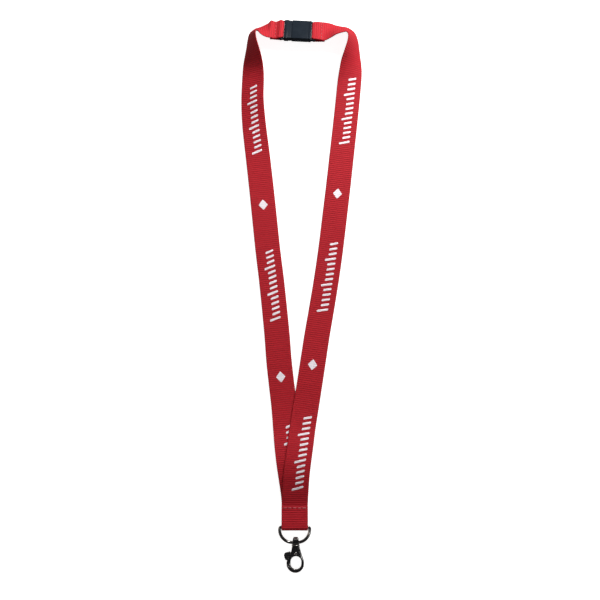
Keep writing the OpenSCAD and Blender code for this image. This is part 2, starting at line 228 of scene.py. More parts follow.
RIGHT_ROUTE = [
    lying(0, -2.6, 2 * LAYER, 180, 0),
    lying(0, 3, 2 * LAYER, 180, 0),
    lying(0, 10.6, 2 * LAYER, 180, 0),
    lying(0.1, 13, 2.75, 180, 0),
    lying(0.3, 17, 3.95, 180, 0),
    lying(0.6, 22, 5.5, 180, 0),
    lying(1, 28, 7.2, 180, 0),
    lying(1.5, 34, 8.4, 179, 0),
    lying(2.2, 40, 8.9, 178, 0),
    lying(3, 46, 8.6, 177, 0),
    lying(4.4, 56, 6.6, 175, 0),
    lying(6, 68, 3.55, 173, 0),
    lying(8.6, 84, 1.65, 172, 0),
    lying(11.8, 104, 1.2, 172, 0),
    lying(14.6, 122, 0.8, 172, 0),
    lying(17.4, 140, 0.3, 172, 0),
    lying(20.9, 160, 0, 171, 0),
    lying(24.9, 184, 0, 171, 0),
    lying(28.4, 208, 0, 172, 0),
    lying(31.4, 232, 0, 173, 0),
    lying(34.6, 258, 0, 173, 0),
    lying(37.6, 284, 0, 173, 0),
    lying(40.8, 312, 0, 174, 0),
    lying(43, 332, 0, 174, 2),
    lying(44.6, 348, 0, 175, 8),
    lying(45.6, 357, 0, 176, 18),
    lying(46.2, 364, 0, 178, 30),
    lying(47, 371, 0, 180, 46),
    lying(47.8, 378, 0, 181, 58),
    lying(47.6, 384, 0, 193, 62),
    lying(45.6, 389, 0, 222, 58),
    lying(42, 391.4, 0, 250, 53),
    lying(37.4, 391.8, 0, 264, 49),
    lying(33.4, 391.9, 0.2, 268, 42),
    lying(29.6, 391.8, 0.8, 267, 30),
    at_buckle(27.5, 0.9),
    at_buckle(24, 1.3, 19.6),
    at_buckle(21.6, 1.6, 19.4),
    at_buckle(19.7, 1.6, 19.2),
    *round_bar(SOCKET_BAR_U, -1),
    at_buckle(19.7, -1.5, 18.8),
    at_buckle(22.4, -1.3, 19),
    at_buckle(25, -1.2, 18.8),
    at_buckle(27.6, -1.2, 18.4),
]


def tab_route():
    """The end tab: front flap from the seam, round the D-ring's bar, and back underneath."""
    mid_r = BAR_Z - WEBBING_T / 2
    front_z = 3 * LAYER + WEBBING_T / 2
    flap = [(SEAM_Y, front_z), (SEAM_Y - 4, front_z), (BAR_Y + 4, BAR_Z + mid_r - 0.1)]
    turn = [
        (BAR_Y + mid_r * math.cos(a), BAR_Z + mid_r * math.sin(a))
        for a in (math.radians(d) for d in range(90, 271, 20))
    ]
    rear = [(BAR_Y + 4, WEBBING_T / 2), (SEAM_Y - 4, WEBBING_T / 2), (SEAM_Y, WEBBING_T / 2)]
    return [((0, y, z), (-1, 0, 0), WEBBING_W) for y, z in flap + turn + rear]


# ---------------------------------------------------------------- the webbing band
class Band:
    """A strip of webbing along stations. side (1 or -1) turns its normal out of its face."""

    DENSE = 0.1
    TANGENT_STEP = 0.4
    FACE_POINTS = 13
    EDGE_DEGREES = (72, 48, 24, 0, -24, -48, -72)

    def __init__(self, stations, side, seed):
        place = np.array([s[0] for s in stations], float)
        data = np.hstack([place, unit(np.array([s[1] for s in stations], float)),
                          np.array([[s[2]] for s in stations], float)])
        knots = np.concatenate([[0], np.cumsum(np.linalg.norm(np.diff(place, axis=0), axis=1))])
        table = hermite(knots, data, np.arange(0, knots[-1], self.DENSE))
        run = np.linalg.norm(np.diff(table[:, :3], axis=0), axis=1)
        self.at = np.concatenate([[0], np.cumsum(run)])
        self.table, self.side, self.seed = table, side, seed
        self.length = self.at[-1]

    def station_at_y(self, y):
        """Length along the band at which its middle line first passes this y."""
        i = int(np.argmax(self.table[:, 1] > y))
        return self.at[i]

    def nearest(self, point):
        """Length along the band at which its middle line comes nearest to a point."""
        return self.at[int(np.argmin(np.linalg.norm(self.table[:, :3] - point, axis=1)))]

    def read(self, s, columns):
        return np.stack([np.interp(s, self.at, self.table[:, k]) for k in range(columns)], axis=-1)

    def frames(self, s):
        """Place, cross direction, outward normal and width at lengths s."""
        row = self.read(s, 7)
        ahead, behind = self.read(s + self.TANGENT_STEP, 3), self.read(s - self.TANGENT_STEP, 3)
        across = unit(row[..., 3:6])
        normal = unit(self.side * np.cross(across, ahead - behind))
        return row[..., :3], across, normal, row[..., 6]

    def groove(self, s, x):
        """0 on a rib's crest to 1 in the groove beside it; the ribs wander a little."""
        wander = 0.14 * np.sin(s / 23 + self.seed) + 0.1 * np.sin(x / 4.5 + s / 41 + self.seed)
        wave = np.abs(np.sin(math.pi * (s + wander) / RIB_PITCH))
        return 1 - wave**0.75

    def half_thickness(self, s, x):
        swell = 0.03 * np.sin(s / 9.7 + self.seed) * np.sin(x / 3.1 + s / 15)
        return WEBBING_T / 2 - 0.03 + swell - RIB_DEPTH * self.groove(s, x)

    def on_face(self, s, x, lift):
        """Points on the front face at lengths s and x across from the middle, raised by lift."""
        place, across, normal, _ = self.frames(s)
        height = self.half_thickness(s, x) + lift
        return place + across * x[..., None] + normal * height[..., None]

    def build(self, name):
        """The band's mesh: two faces and rounded edges, ribbed all round, and closed ends."""
        core = np.linspace(-1, 1, self.FACE_POINTS)
        edge_a = np.radians(self.EDGE_DEGREES)
        flat, n_edge = np.zeros(self.FACE_POINTS), len(edge_a)
        core_f = np.concatenate([core, np.ones(n_edge), core[::-1], -np.ones(n_edge)])
        cos_f = np.concatenate([flat, np.cos(edge_a), flat, -np.cos(edge_a[::-1])])
        sin_f = np.concatenate([flat + 1, np.sin(edge_a), flat - 1, np.sin(edge_a[::-1])])
        n = len(core_f)
        rings = int(self.length / RIB_PITCH * RINGS_PER_RIB)
        s = np.linspace(0, self.length, rings)
        place, across, normal, width = self.frames(s)
        r = WEBBING_T / 2
        x0 = core_f[None] * (width[:, None] / 2 - r)
        groove = self.groove(s[:, None], x0)
        x = x0 + cos_f[None] * (r - EDGE_SCALLOP * groove)
        z = sin_f[None] * self.half_thickness(s[:, None], x0)
        points = place[:, None] + across[:, None] * x[..., None] + normal[:, None] * z[..., None]
        a = np.arange(rings - 1)[:, None] * n + np.arange(n)[None]
        b = np.arange(rings - 1)[:, None] * n + (np.arange(n)[None] + 1) % n
        quads = np.stack([a, b, b + n, a + n], axis=-1).reshape(-1, 4)
        caps = [list(range(n))[::-1], list(range((rings - 1) * n, rings * n))]
        weave = np.stack([np.broadcast_to(s[:, None], x.shape), x, z], axis=-1)
        return make_mesh(name, points.reshape(-1, 3), quads.tolist() + caps, weave.reshape(-1, 3))


# ---------------------------------------------------------------- mesh helpers
def make_mesh(name, points, faces, weave=None):
    """A smooth-shaded object from millimetre points, with outward faces."""
    mesh = bpy.data.meshes.new(name)
    mesh.from_pydata((np.asarray(points) * MM).tolist(), [], faces)
    if weave is not None:
        layer = mesh.attributes.new("weave", "FLOAT_VECTOR", "POINT")
        layer.data.foreach_set("vector", np.asarray(weave, np.float32).ravel())
    bm = bmesh.new()
    bm.from_mesh(mesh)
    bmesh.ops.recalc_face_normals(bm, faces=bm.faces)
    bm.to_mesh(mesh)
    bm.free()
    mesh.polygons.foreach_set("use_smooth", [True] * len(mesh.polygons))
    made = bpy.data.objects.new(name, mesh)
    bpy.context.collection.objects.link(made)
    return made


class Shells:
    """Several closed shells gathered into one mesh."""

    def __init__(self):
        self.points, self.faces, self.weave = [], [], []

    def add(self, points, faces, weave=None):
        start = len(self.points)
        self.points += np.asarray(points).reshape(-1, 3).tolist()
        self.faces += [[start + i for i in f] for f in faces]
        if weave is not None:
            self.weave += np.asarray(weave).reshape(-1, 3).tolist()

    def loft(self, rows, place):
        """A capped skin over rows. place gives each row's ring of points, in millimetres."""
        rings = np.stack([place(row) for row in rows])
        count, n = rings.shape[:2]
        faces = []
        for i in range(count - 1):
            for k in range(n):
                a, b = i * n + k, i * n + (k + 1) % n
                faces.append([a, b, b + n, a + n])
        faces += [list(range(n))[::-1], list(range((count - 1) * n, count * n))]
        self.add(rings.reshape(-1, 3), faces)

    def build(self, name):
        return make_mesh(name, self.points, self.faces, self.weave or None)


def rounded_rect(w, t, r, steps=5):
    """Outline of a w by t rectangle with corners of radius r, as (across, up) points."""
    r = min(r, w / 2 - 0.01, t / 2 - 0.01)
    found = []
    for k, (sx, sy) in enumerate([(1, 1), (-1, 1), (-1, -1), (1, -1)]):
        for i in range(steps + 1):
            a = math.radians(90 * k + 90 * i / steps)
            found.append((sx * (w / 2 - r) + r * math.cos(a), sy * (t / 2 - r) + r * math.sin(a)))
    return np.array(found)


def tube(points, radius, sides, closed=False):
    """(points, faces) of a round tube along points. A planar path keeps its frame from twisting."""
    points = np.asarray(points, float)
    ahead = np.roll(points, -1, axis=0) - np.roll(points, 1, axis=0)
    if not closed:
        ahead[0], ahead[-1] = points[1] - points[0], points[-1] - points[-2]
    ahead = unit(ahead)
    up = np.array([0.0, 0.0, 1.0])
    side = unit(np.cross(ahead, up) + 1e-9)
    top = np.cross(side, ahead)
    a = np.linspace(0, 2 * math.pi, sides, endpoint=False)
    ring = side[:, None] * np.cos(a)[None, :, None] + top[:, None] * np.sin(a)[None, :, None]
    skin = points[:, None] + ring * radius
    count, faces = len(points), []
    for i in range(count if closed else count - 1):
        for k in range(sides):
            j, m = (i + 1) % count, (k + 1) % sides
            faces.append([i * sides + k, i * sides + m, j * sides + m, j * sides + k])
    if not closed:
        faces += [list(range(sides))[::-1], list(range((count - 1) * sides, count * sides))]
    return skin.reshape(-1, 3), faces


def arc(cx, cy, r, start, end, steps):
    """Points of an arc in plan, in degrees."""
    a = np.radians(np.linspace(start, end, steps))
    return np.stack([cx + r * np.cos(a), cy + r * np.sin(a)], axis=-1)


# ---------------------------------------------------------------- materials
def new_material(name, base, roughness, metallic=0.0):
    """A Principled material, its shader and a function that adds a node to it."""
    made = bpy.data.materials.new(name)
    made.use_nodes = True
    tree = made.node_tree
    shader = tree.nodes["Principled BSDF"]
    shader.inputs["Base Color"].default_value = (*base, 1)
    shader.inputs["Roughness"].default_value = roughness
    shader.inputs["Metallic"].default_value = metallic

    def add(kind, values=(), **settings):
        node = tree.nodes.new(kind)
        for key, value in settings.items():
            setattr(node, key, value)
        for key, value in dict(values).items():
            if isinstance(value, bpy.types.NodeSocket):
                tree.links.new(value, node.inputs[key])
            else:
                node.inputs[key].default_value = value
        return node

    return made, shader, add


def blend_colours(add, factor, first, second):
    """Output colour between two colours or sockets by factor."""
    node = add("ShaderNodeMix", data_type="RGBA")
    sockets = {s.identifier: s for s in node.inputs}
    tree = node.id_data
    for key, value in (("Factor_Float", factor), ("A_Color", first), ("B_Color", second)):
        if isinstance(value, bpy.types.NodeSocket):
            tree.links.new(value, sockets[key])
        else:
            sockets[key].default_value = value if key == "Factor_Float" else (*value, 1)
    return {s.identifier: s for s in node.outputs}["Result_Color"]


def maths(add, operation, first, second=0.0):
    return add("ShaderNodeMath", {0: first, 1: second}, operation=operation).outputs[0]


def noise(add, vector, scale, detail=2.0):
    node = add("ShaderNodeTexNoise", {"Vector": vector, "Scale": scale, "Detail": detail})
    return node.outputs[0]


def feed(shader, name, socket):
    """Links a socket to the shader's input of that name."""
    shader.id_data.links.new(socket, shader.inputs[name])


def bump(add, shader, height, strength, distance):
    """Fine relief on the shader's normal. distance is in metres."""
    node = add("ShaderNodeBump", {"Height": height, "Strength": strength, "Distance": distance})
    feed(shader, "Normal", node.outputs[0])


def webbing_material():
    """Ribbed polyester: crests and grooves with painted shade in the grooves, warp yarns that
    alternate from rib to rib, and fuzz.
    """
    made, shader, add = new_material("webbing_red", (0.6, 0.03, 0.05), 0.72)
    shader.inputs["Sheen Weight"].default_value = 0.12
    shader.inputs["Sheen Roughness"].default_value = 0.45
    shader.inputs["Sheen Tint"].default_value = (1.0, 0.45, 0.45, 1)
    shader.inputs["Specular IOR Level"].default_value = 0.25
    weave = add("ShaderNodeAttribute", attribute_name="weave")
    axes = add("ShaderNodeSeparateXYZ", {0: weave.outputs["Vector"]})
    along, across = axes.outputs[0], axes.outputs[1]
    rib = maths(add, "DIVIDE", along, RIB_PITCH)
    crest = maths(add, "ABSOLUTE", maths(add, "SINE", maths(add, "MULTIPLY", rib, math.pi)))
    parity = maths(add, "MULTIPLY", maths(add, "MODULO", maths(add, "FLOOR", rib), 2.0), 0.5)
    warp = maths(add, "ADD", maths(add, "DIVIDE", across, YARN_PITCH), parity)
    yarn = maths(add, "ABSOLUTE", maths(add, "SINE", maths(add, "MULTIPLY", warp, math.pi)))
    stretch = add("ShaderNodeVectorMath", {0: weave.outputs["Vector"], 1: (0.5, 4.0, 1.0)},
                  operation="MULTIPLY")
    fibre = noise(add, stretch.outputs[0], 2.2, 5.0)
    patch = noise(add, weave.outputs["Vector"], 0.06, 3.0)
    # Painted shade: the colour darkens towards each rib's groove. The yarn and fibre terms are the
    # weave's own pattern.
    groove_shade_yarn_and_fibre = maths(add, "MULTIPLY", maths(add, "POWER", crest, 0.6), 0.62)
    groove_shade_yarn_and_fibre = maths(add, "ADD", groove_shade_yarn_and_fibre, maths(add, "MULTIPLY", yarn, 0.16))
    groove_shade_yarn_and_fibre = maths(add, "ADD", groove_shade_yarn_and_fibre, maths(add, "MULTIPLY", fibre, 0.3))
    colour = blend_colours(add, groove_shade_yarn_and_fibre, (0.075, 0.001, 0.004), (0.62, 0.012, 0.026))
    worn = maths(add, "MULTIPLY", patch, 0.35)
    colour = blend_colours(add, worn, colour, (0.42, 0.012, 0.022))
    feed(shader, "Base Color", colour)
    relief = maths(add, "ADD", maths(add, "MULTIPLY", yarn, 0.7), fibre)
    bump(add, shader, relief, 0.55, 0.00012)
    return made


def print_material():
    """Matt screen-print ink, slightly broken by the weave under it."""
    made, shader, add = new_material("print_white", (0.86, 0.84, 0.92), 0.55)
    weave = add("ShaderNodeAttribute", attribute_name="weave")
    axes = add("ShaderNodeSeparateXYZ", {0: weave.outputs["Vector"]})
    rib = maths(add, "MULTIPLY", axes.outputs[0], math.pi / RIB_PITCH)
    crest = maths(add, "POWER", maths(add, "ABSOLUTE", maths(add, "SINE", rib)), 0.5)
    grain = noise(add, weave.outputs["Vector"], 1.7, 4.0)
    thin = maths(add, "ADD", maths(add, "MULTIPLY", grain, 0.4),
                 maths(add, "MULTIPLY", crest, 0.75))
    colour = blend_colours(add, thin, (0.93, 0.82, 0.95), (0.98, 0.93, 0.99))
    feed(shader, "Base Color", colour)
    bump(add, shader, grain, 0.3, 0.00008)
    return made


def thread_material(name, dark, light):
    """Twisted sewing thread."""
    made, shader, add = new_material(name, light, 0.6)
    shader.inputs["Sheen Weight"].default_value = 0.3
    place = add("ShaderNodeTexCoord")
    turned = add("ShaderNodeMapping", {"Vector": place.outputs["Object"],
                                       "Rotation": (0, 0, math.radians(35))})
    twist = add("ShaderNodeTexWave", {"Vector": turned.outputs[0], "Scale": 900.0,
                                      "Distortion": 0.4})
    colour = blend_colours(add, twist.outputs[1], dark, light)
    feed(shader, "Base Color", colour)
    bump(add, shader, twist.outputs[1], 0.6, 0.0001)
    return made


def plastic_material():
    """Blue-black moulded acetal with a fine spark-eroded grain and faint scuffs."""
    made, shader, add = new_material("buckle_plastic", (0.018, 0.026, 0.038), 0.42)
    shader.inputs["Specular IOR Level"].default_value = 0.05
    place = add("ShaderNodeTexCoord").outputs["Object"]
    grain, scuff = noise(add, place, 5200.0), noise(add, place, 210.0, 6.0)
    colour = blend_colours(add, scuff, (0.008, 0.012, 0.018), (0.018, 0.025, 0.034))
    feed(shader, "Base Color", colour)
    rough = maths(add, "ADD", maths(add, "MULTIPLY", scuff, 0.03), 0.27)
    feed(shader, "Roughness", rough)
    bump(add, shader, grain, 0.35, 0.00003)
    return made


def metal_material(name, dark, light, roughness):
    """Plated metal with a soft orange-peel and slightly uneven polish."""
    made, shader, add = new_material(name, dark, roughness, metallic=1.0)
    place = add("ShaderNodeTexCoord").outputs["Object"]
    peel, haze = noise(add, place, 900.0), noise(add, place, 260.0, 5.0)
    colour = blend_colours(add, haze, dark, light)
    feed(shader, "Base Color", colour)
    rough = maths(add, "ADD", maths(add, "MULTIPLY", haze, 0.2), roughness - 0.1)
    feed(shader, "Roughness", rough)
    bump(add, shader, peel, 0.12, 0.00006)
    return made


def floor_material():
    """A near-white floor that glows a little, so that it reads as an even studio ground."""
    made, shader, add = new_material("floor_white", (0.93, 0.93, 0.93), 0.8)
    grain = noise(add, add("ShaderNodeTexCoord").outputs["Object"], 60.0)
    colour = blend_colours(add, grain, (0.57, 0.57, 0.57), (0.6, 0.6, 0.6))
    feed(shader, "Base Color", colour)
    shader.inputs["Emission Color"].default_value = (1, 1, 1, 1)
    shader.inputs["Emission Strength"].default_value = 0.92
    return made


RED = webbing_material()
INK = print_material()
THREAD = thread_material("thread_light", (0.4, 0.05, 0.07), (0.72, 0.2, 0.23))
DARK_THREAD = thread_material("thread_red", (0.22, 0.006, 0.012), (0.6, 0.03, 0.05))
PLASTIC = plastic_material()
NICKEL = metal_material("black_nickel", (0.17, 0.165, 0.16), (0.27, 0.265, 0.26), 0.19)
RIVET = metal_material("rivet_nickel", (0.42, 0.41, 0.4), (0.55, 0.54, 0.53), 0.25)
STEEL = metal_material("spring_steel", (0.45, 0.45, 0.46), (0.6, 0.6, 0.61), 0.32)


def paint(piece, material):
    """Makes this the piece's only material."""
    piece.data.materials.clear()
    piece.data.materials.append(material)


# ---------------------------------------------------------------- webbing pieces
LEFT = Band(LEFT_ROUTE, 1, 0.3)
RIGHT = Band(RIGHT_ROUTE, -1, 2.1)
TAB = Band(tab_route(), 1, 4.4)

strap_left = LEFT.build("strap_left")
strap_right = RIGHT.build("strap_right_webbing")
tab = TAB.build("end_tab_webbing")
for piece in (strap_left, strap_right, tab):
    paint(piece, RED)


# ---------------------------------------------------------------- print
INK_T = 0.05
INK_RIM = 0.01                # height of a patch's rim, where the ink thins out
INK_ROOT = -0.06              # a patch's hidden underside, inside the webbing
INK_STEP = 0.21               # grid of the ink's mesh, about an eighth of a rib
BLOCK_BARS = 14
BLOCK_L = 58.0
BAR_HEIGHT = 6.4
TALL_EVERY = 5                # every fifth bar is a taller one
TALL_EXTRA = 2.4
BAR_WIDTH = 1.8
BAR_SLANT = 0.3
BAR_STRAIGHT = 0.8
DIAMOND = (3.6, 4.2)          # half sizes across the band and along it


def ink_patch(shells, band, s, x, half_l, half_w, slant, straight):
    """One closed patch of ink on the band's front face, about (s, x).

    half_l is its half size across the band and half_w along it. straight is the share of its
    length that runs at full width before the ends close, round on a bar and pointed on a diamond.
    """
    n_a = 2 * round(half_l / 0.4) + 1
    n_b = 2 * round(half_w / INK_STEP) + 1
    a, b = np.meshgrid(np.linspace(-1, 1, n_a), np.linspace(-1, 1, n_b), indexing="ij")
    past = np.clip((np.abs(a) - straight) / (1 - straight), 0, 0.98)
    width = half_w * (np.sqrt(1 - past**2) if straight else 1 - past**1.15)
    px = x + a * half_l
    ps = s + b * width + slant * a * half_l
    rim = np.maximum(np.abs(a), np.abs(b)) > 0.999
    top = band.on_face(ps, px, np.where(rim, INK_RIM, INK_T))
    under = band.on_face(ps, px, np.full_like(ps, INK_ROOT))
    count, faces = n_a * n_b, []
    for i in range(n_a - 1):
        for k in range(n_b - 1):
            p = i * n_b + k
            quad = [p, p + 1, p + n_b + 1, p + n_b]
            faces += [quad, [count + q for q in reversed(quad)]]
    border = (
        list(range(n_b))
        + [i * n_b + n_b - 1 for i in range(1, n_a)]
        + [(n_a - 1) * n_b + k for k in range(n_b - 2, -1, -1)]
        + [i * n_b for i in range(n_a - 2, 0, -1)]
    )
    for p, q in zip(border, border[1:] + border[:1]):
        faces.append([q, p, count + p, count + q])
    flat = np.stack([ps, px, np.zeros_like(ps)], axis=-1).reshape(-1, 3)
    points = np.concatenate([top.reshape(-1, 3), under.reshape(-1, 3)])
    shells.add(points, faces, np.concatenate([flat, flat]))


def printed(band, name, blocks, mark_ys, tall_side):
    """Blocks of slanted bars with a plain diamond between them.

    blocks are (y, shift across). tall_side (1 or -1) is the side on which every fifth bar,
    the taller one, stands out.
    """
    shells = Shells()
    pitch = BLOCK_L / BLOCK_BARS
    slant = -BAR_SLANT * tall_side
    for y, shift in blocks:
        middle = band.station_at_y(y)
        for i in range(BLOCK_BARS):
            s = middle + (i - (BLOCK_BARS - 1) / 2) * pitch
            extra = TALL_EXTRA / 2 if i % TALL_EVERY == 0 else 0
            ink_patch(shells, band, s + slant * extra * tall_side, shift + extra * tall_side,
                      BAR_HEIGHT / 2 + extra, BAR_WIDTH / 2, slant, BAR_STRAIGHT)
    for y in mark_ys:
        ink_patch(shells, band, band.station_at_y(y), 0.0, *DIAMOND, 0.0, 0.0)
    made = shells.build(name)
    paint(made, INK)
    return made


print_left = printed(LEFT, "print_left", ((316.3, 1.0), (179.9, 1.0), (43.0, 3.0)),
                     (245.3, 107.3), -1)
print_right = printed(RIGHT, "print_right", ((324.6, -2.0), (186.7, -2.0), (50.0, -2.6)),
                      (254.5, 116.7), 1)


# ---------------------------------------------------------------- stitches
STITCH_L = 2.2
STITCH_PITCH = 3.6
STITCH_COUNT = 5
STITCH_POINTS = 13
STITCH_WANDER = 0.08
STITCH_INSET = 1.4            # the tab's stitches from its seam
THREAD_R = 0.3
THREAD_TOP = 0.16             # the thread's middle above the webbing
THREAD_DIVE = 0.42            # how far its ends go down from there


def stitches(band, name, s, thread):
    """A row of stitches across the band: each a short arch of thread that dives in at its ends."""
    shells = Shells()
    for i in range(STITCH_COUNT):
        x = np.linspace(-1, 1, STITCH_POINTS) * STITCH_L / 2
        middle = (i - (STITCH_COUNT - 1) / 2) * STITCH_PITCH
        arch = THREAD_TOP - THREAD_DIVE * (np.abs(x) / (STITCH_L / 2)) ** 3
        along = np.full(STITCH_POINTS, s) + STITCH_WANDER * np.sin(i * 2.3)
        shells.add(*tube(band.on_face(along, middle + x, arch), THREAD_R, sides=12))
    made = shells.build(name)
    paint(made, thread)
    return made


LEFT_STITCH_S = LEFT.nearest(in_buckle(-13.3, 0, 0.06))
RIGHT_STITCH_S = RIGHT.nearest(in_buckle(24.6, 0, 1.24))
stitch_tab = stitches(TAB, "tab_stitches", STITCH_INSET, THREAD)
stitch_left = stitches(LEFT, "buckle_stitches_left", LEFT_STITCH_S, DARK_THREAD)
stitch_right = stitches(RIGHT, "buckle_stitches_right", RIGHT_STITCH_S, DARK_THREAD)


# ---------------------------------------------------------------- buckle
def box_rows(shells, rows):
    """Rounded-box sections along the buckle: rows of (u, middle v, width, thickness, corner)."""
    def place(row):
        u, v, w, t, r = row
        outline = rounded_rect(w, t, r)
        return in_buckle(u, v + outline[:, 0], outline[:, 1])
    shells.loft(rows, place)


def end_frame(shells, start_u, towards):
    """Two rails and the round-edged bar that the webbing turns round."""
    end = start_u + towards * (SLOT_L + BAR_L)
    rail_w = (BUCKLE_W - SLOT_W) / 2
    for side in (-1, 1):
        v = side * (BUCKLE_W - rail_w) / 2
        steps = [(start_u - towards * 0.4, 0), (end - towards * 0.6, 0),
                 (end - towards * 0.2, 0.12), (end, 0.45)]
        box_rows(shells, [(u, v, rail_w - k, 2 * BAR_R - k, 0.3) for u, k in steps])
    middle = end - towards * BAR_L / 2
    outline = rounded_rect(BAR_L, 2 * BAR_R, BAR_R, 8)
    half = BUCKLE_W / 2 - 0.3
    shells.loft(
        [-half, half],
        lambda v: in_buckle(middle + outline[:, 0], v, outline[:, 1]),
    )


def buckle_socket():
    """The socket half: outside from its far end to its mouth, then in along its cavity."""
    w, t = BUCKLE_W, BUCKLE_T
    shells = Shells()
    box_rows(shells, [
        (SOCKET_L, 0, w - 2.0, t - 2.0, 0.5), (SOCKET_L, 0, w - 0.9, t - 0.9, 0.6),
        (SOCKET_L - 0.12, 0, w - 0.4, t - 0.4, 0.75), (SOCKET_L - 0.45, 0, w - 0.1, t - 0.1, 0.8),
        (SOCKET_L - 0.9, 0, w, t, 0.85), (SOCKET_L - 1.9, 0, w, t, 0.85),
        (SOCKET_L - 2.1, 0, w - 0.12, t - 0.12, 0.8), (SOCKET_L - 2.2, 0, w - 0.5, t - 0.5, 0.7),
        (SOCKET_L - 2.6, 0, w - 0.5, t - 0.5, 0.7), (SOCKET_L - 2.7, 0, w - 0.2, t - 0.2, 0.8),
        (SOCKET_L - 3.0, 0, w - 0.1, t - 0.1, 0.85), (1.2, 0, w - 0.1, t - 0.1, 0.85),
        (0.55, 0, w - 0.2, t - 0.2, 0.8), (0.25, 0, w - 0.45, t - 0.45, 0.7),
        (0.03, 0, w - 0.9, t - 0.9, 0.6), (0.03, 0, 17.2, 2.9, 0.5),
        (0.3, 0, 16.7, 2.5, 0.4), (0.7, 0, CAVITY_W, CAVITY_T, 0.3),
        (PRONG_L + 0.5, 0, CAVITY_W, CAVITY_T, 0.3),
    ])
    end_frame(shells, SOCKET_L, 1)
    return shells.build("buckle_socket_moulding")


def buckle_plug():
    """The plug half: a shoulder, the webbing's bar behind it and two prongs with catches."""
    w, t = BUCKLE_W, BUCKLE_T
    shells = Shells()
    box_rows(shells, [
        (-SHOULDER_L, 0, w - 1.6, t - 1.6, 0.5), (-SHOULDER_L + 0.05, 0, w - 0.9, t - 0.9, 0.6),
        (-SHOULDER_L + 0.25, 0, w - 0.4, t - 0.4, 0.75),
        (-SHOULDER_L + 0.7, 0, w - 0.1, t - 0.1, 0.85), (-2.7, 0, w - 0.1, t - 0.1, 0.85),
        (-2.55, 0, w - 0.45, t - 0.45, 0.8), (-2.3, 0, w - 0.6, t - 0.6, 0.8),
        (-0.7, 0, w - 0.6, t - 0.6, 0.8), (-0.3, 0, w - 0.85, t - 0.85, 0.7),
        (-0.03, 0, w - 1.1, t - 1.1, 0.6),
    ])
    end_frame(shells, -SHOULDER_L, -1)
    catch_room = 0.2 + 0.6    # side clearance and the catch's own reach
    prong_v = CAVITY_W / 2 - catch_room - PRONG_W / 2
    for side in (-1, 1):
        def row(u, out, w=PRONG_W, t=PRONG_T, side=side):
            return (u, side * (prong_v + out / 2), w + out, t, 0.35)
        box_rows(shells, [
            row(-0.4, 0), row(8, 0), row(9.5, 0.05), row(9.8, 0.55), row(10.5, 0.58),
            row(12.2, 0.1), row(12.7, 0, 3.2, 1.5), row(PRONG_L, 0, 2.4, 1.0),
        ])
    return shells.build("buckle_plug_moulding")


socket = buckle_socket()
plug = buckle_plug()
for piece in (socket, plug):
    paint(piece, PLASTIC)


# ---------------------------------------------------------------- D-ring
def d_ring():
    """A closed ring of wire: bar, elbows, two bows and a straight foot, all tangent."""
    ex, drop = RING_INNER_W / 2 + WIRE_R - ELBOW_R, RING_DEPTH - ELBOW_R
    foot = RING_FOOT_L / 2
    span = ex - foot
    r = (span**2 + drop**2 - ELBOW_R**2) / (2 * (drop - ELBOW_R))
    cy = BAR_Y - RING_DEPTH + r
    end = math.degrees(math.atan2(r - drop, span))
    bar_x = np.linspace(-ex, ex, 40)[1:-1]
    path = np.concatenate([
        np.stack([bar_x, np.full_like(bar_x, BAR_Y)], axis=-1),
        arc(ex, BAR_Y - ELBOW_R, ELBOW_R, 90, -end, 16),
        arc(foot, cy, r, -end, -90, 45)[1:],
        arc(-foot, cy, r, -90, -180 + end, 45)[:-1],
        arc(-ex, BAR_Y - ELBOW_R, ELBOW_R, 180 + end, 90, 16),
    ])
    path = np.column_stack([path, np.full(len(path), BAR_Z)])
    shells = Shells()
    shells.add(*tube(path, WIRE_R, sides=28, closed=True))
    return shells.build("d_ring_wire")


ring = d_ring()
paint(ring, NICKEL)


# ---------------------------------------------------------------- cast hook pieces
def cast_from(node, name, voxel, smooth, shape):
    """A cast-metal version of a CAD node: its edges rounded over, then moved by shape."""
    source = frame["nodes"][node]
    made = bpy.data.objects.new(name, source.data.copy())
    bpy.context.collection.objects.link(made)
    made.data.materials.clear()
    remesh = made.modifiers.new("skin", "REMESH")
    remesh.mode = "VOXEL"
    remesh.voxel_size = voxel * MM
    soften = made.modifiers.new("soften", "SMOOTH")
    soften.factor = 0.5
    soften.iterations = smooth
    dg = bpy.context.evaluated_depsgraph_get()
    mesh = bpy.data.meshes.new_from_object(made.evaluated_get(dg), depsgraph=dg)
    made.modifiers.clear()
    made.data = mesh
    co = np.empty(len(mesh.vertices) * 3)
    mesh.vertices.foreach_get("co", co)
    co = shape(co.reshape(-1, 3) / MM) * MM
    mesh.vertices.foreach_set("co", co.ravel())
    mesh.update()
    mesh.polygons.foreach_set("use_smooth", [True] * len(mesh.polygons))
    paint(made, NICKEL)
    return made


def crown_hook(points):
    """Thins the hook towards its bow, and rounds the bow's section into an oval."""
    x, y, z = points[:, 0] - HOOK_X, points[:, 1], points[:, 2] - HOOK_Z
    low = np.clip((-26.0 - y) / 9.0, 0, 1)
    r = np.hypot(x, y - BOW_Y)
    off = np.clip(np.abs(r - BOW_R) / BOW_HALF_W, 0, 1)
    oval = np.sqrt(1 - 0.75 * off**2)
    shoulder = np.sqrt(1 - 0.4 * np.clip(np.abs(x + 0.2) / 5.5, 0, 1) ** 2)
    keep = (1 - 0.22 * low) * (shoulder * (1 - low) + low * oval)
    found = points.copy()
    found[:, 2] = HOOK_Z + z * keep
    return found


def crown_lever(points):
    """The hook's crown, with finger grooves cut round the thumb knob."""
    found = crown_hook(points)
    x, y = points[:, 0] - HOOK_X, points[:, 1]
    out = np.clip((KNOB_X - x) / 1.2, 0, 1) * np.clip((y - KNOB_END_Y) / 0.8, 0, 1)
    groove = np.clip(np.sin((y - GROOVE_Y) * 2 * math.pi / GROOVE_PITCH), 0, 1) ** 2
    found[:, 0] += 0.28 * out * groove
    found[:, 2] = HOOK_Z + (found[:, 2] - HOOK_Z) * (1 - 0.09 * out * groove)
    return found


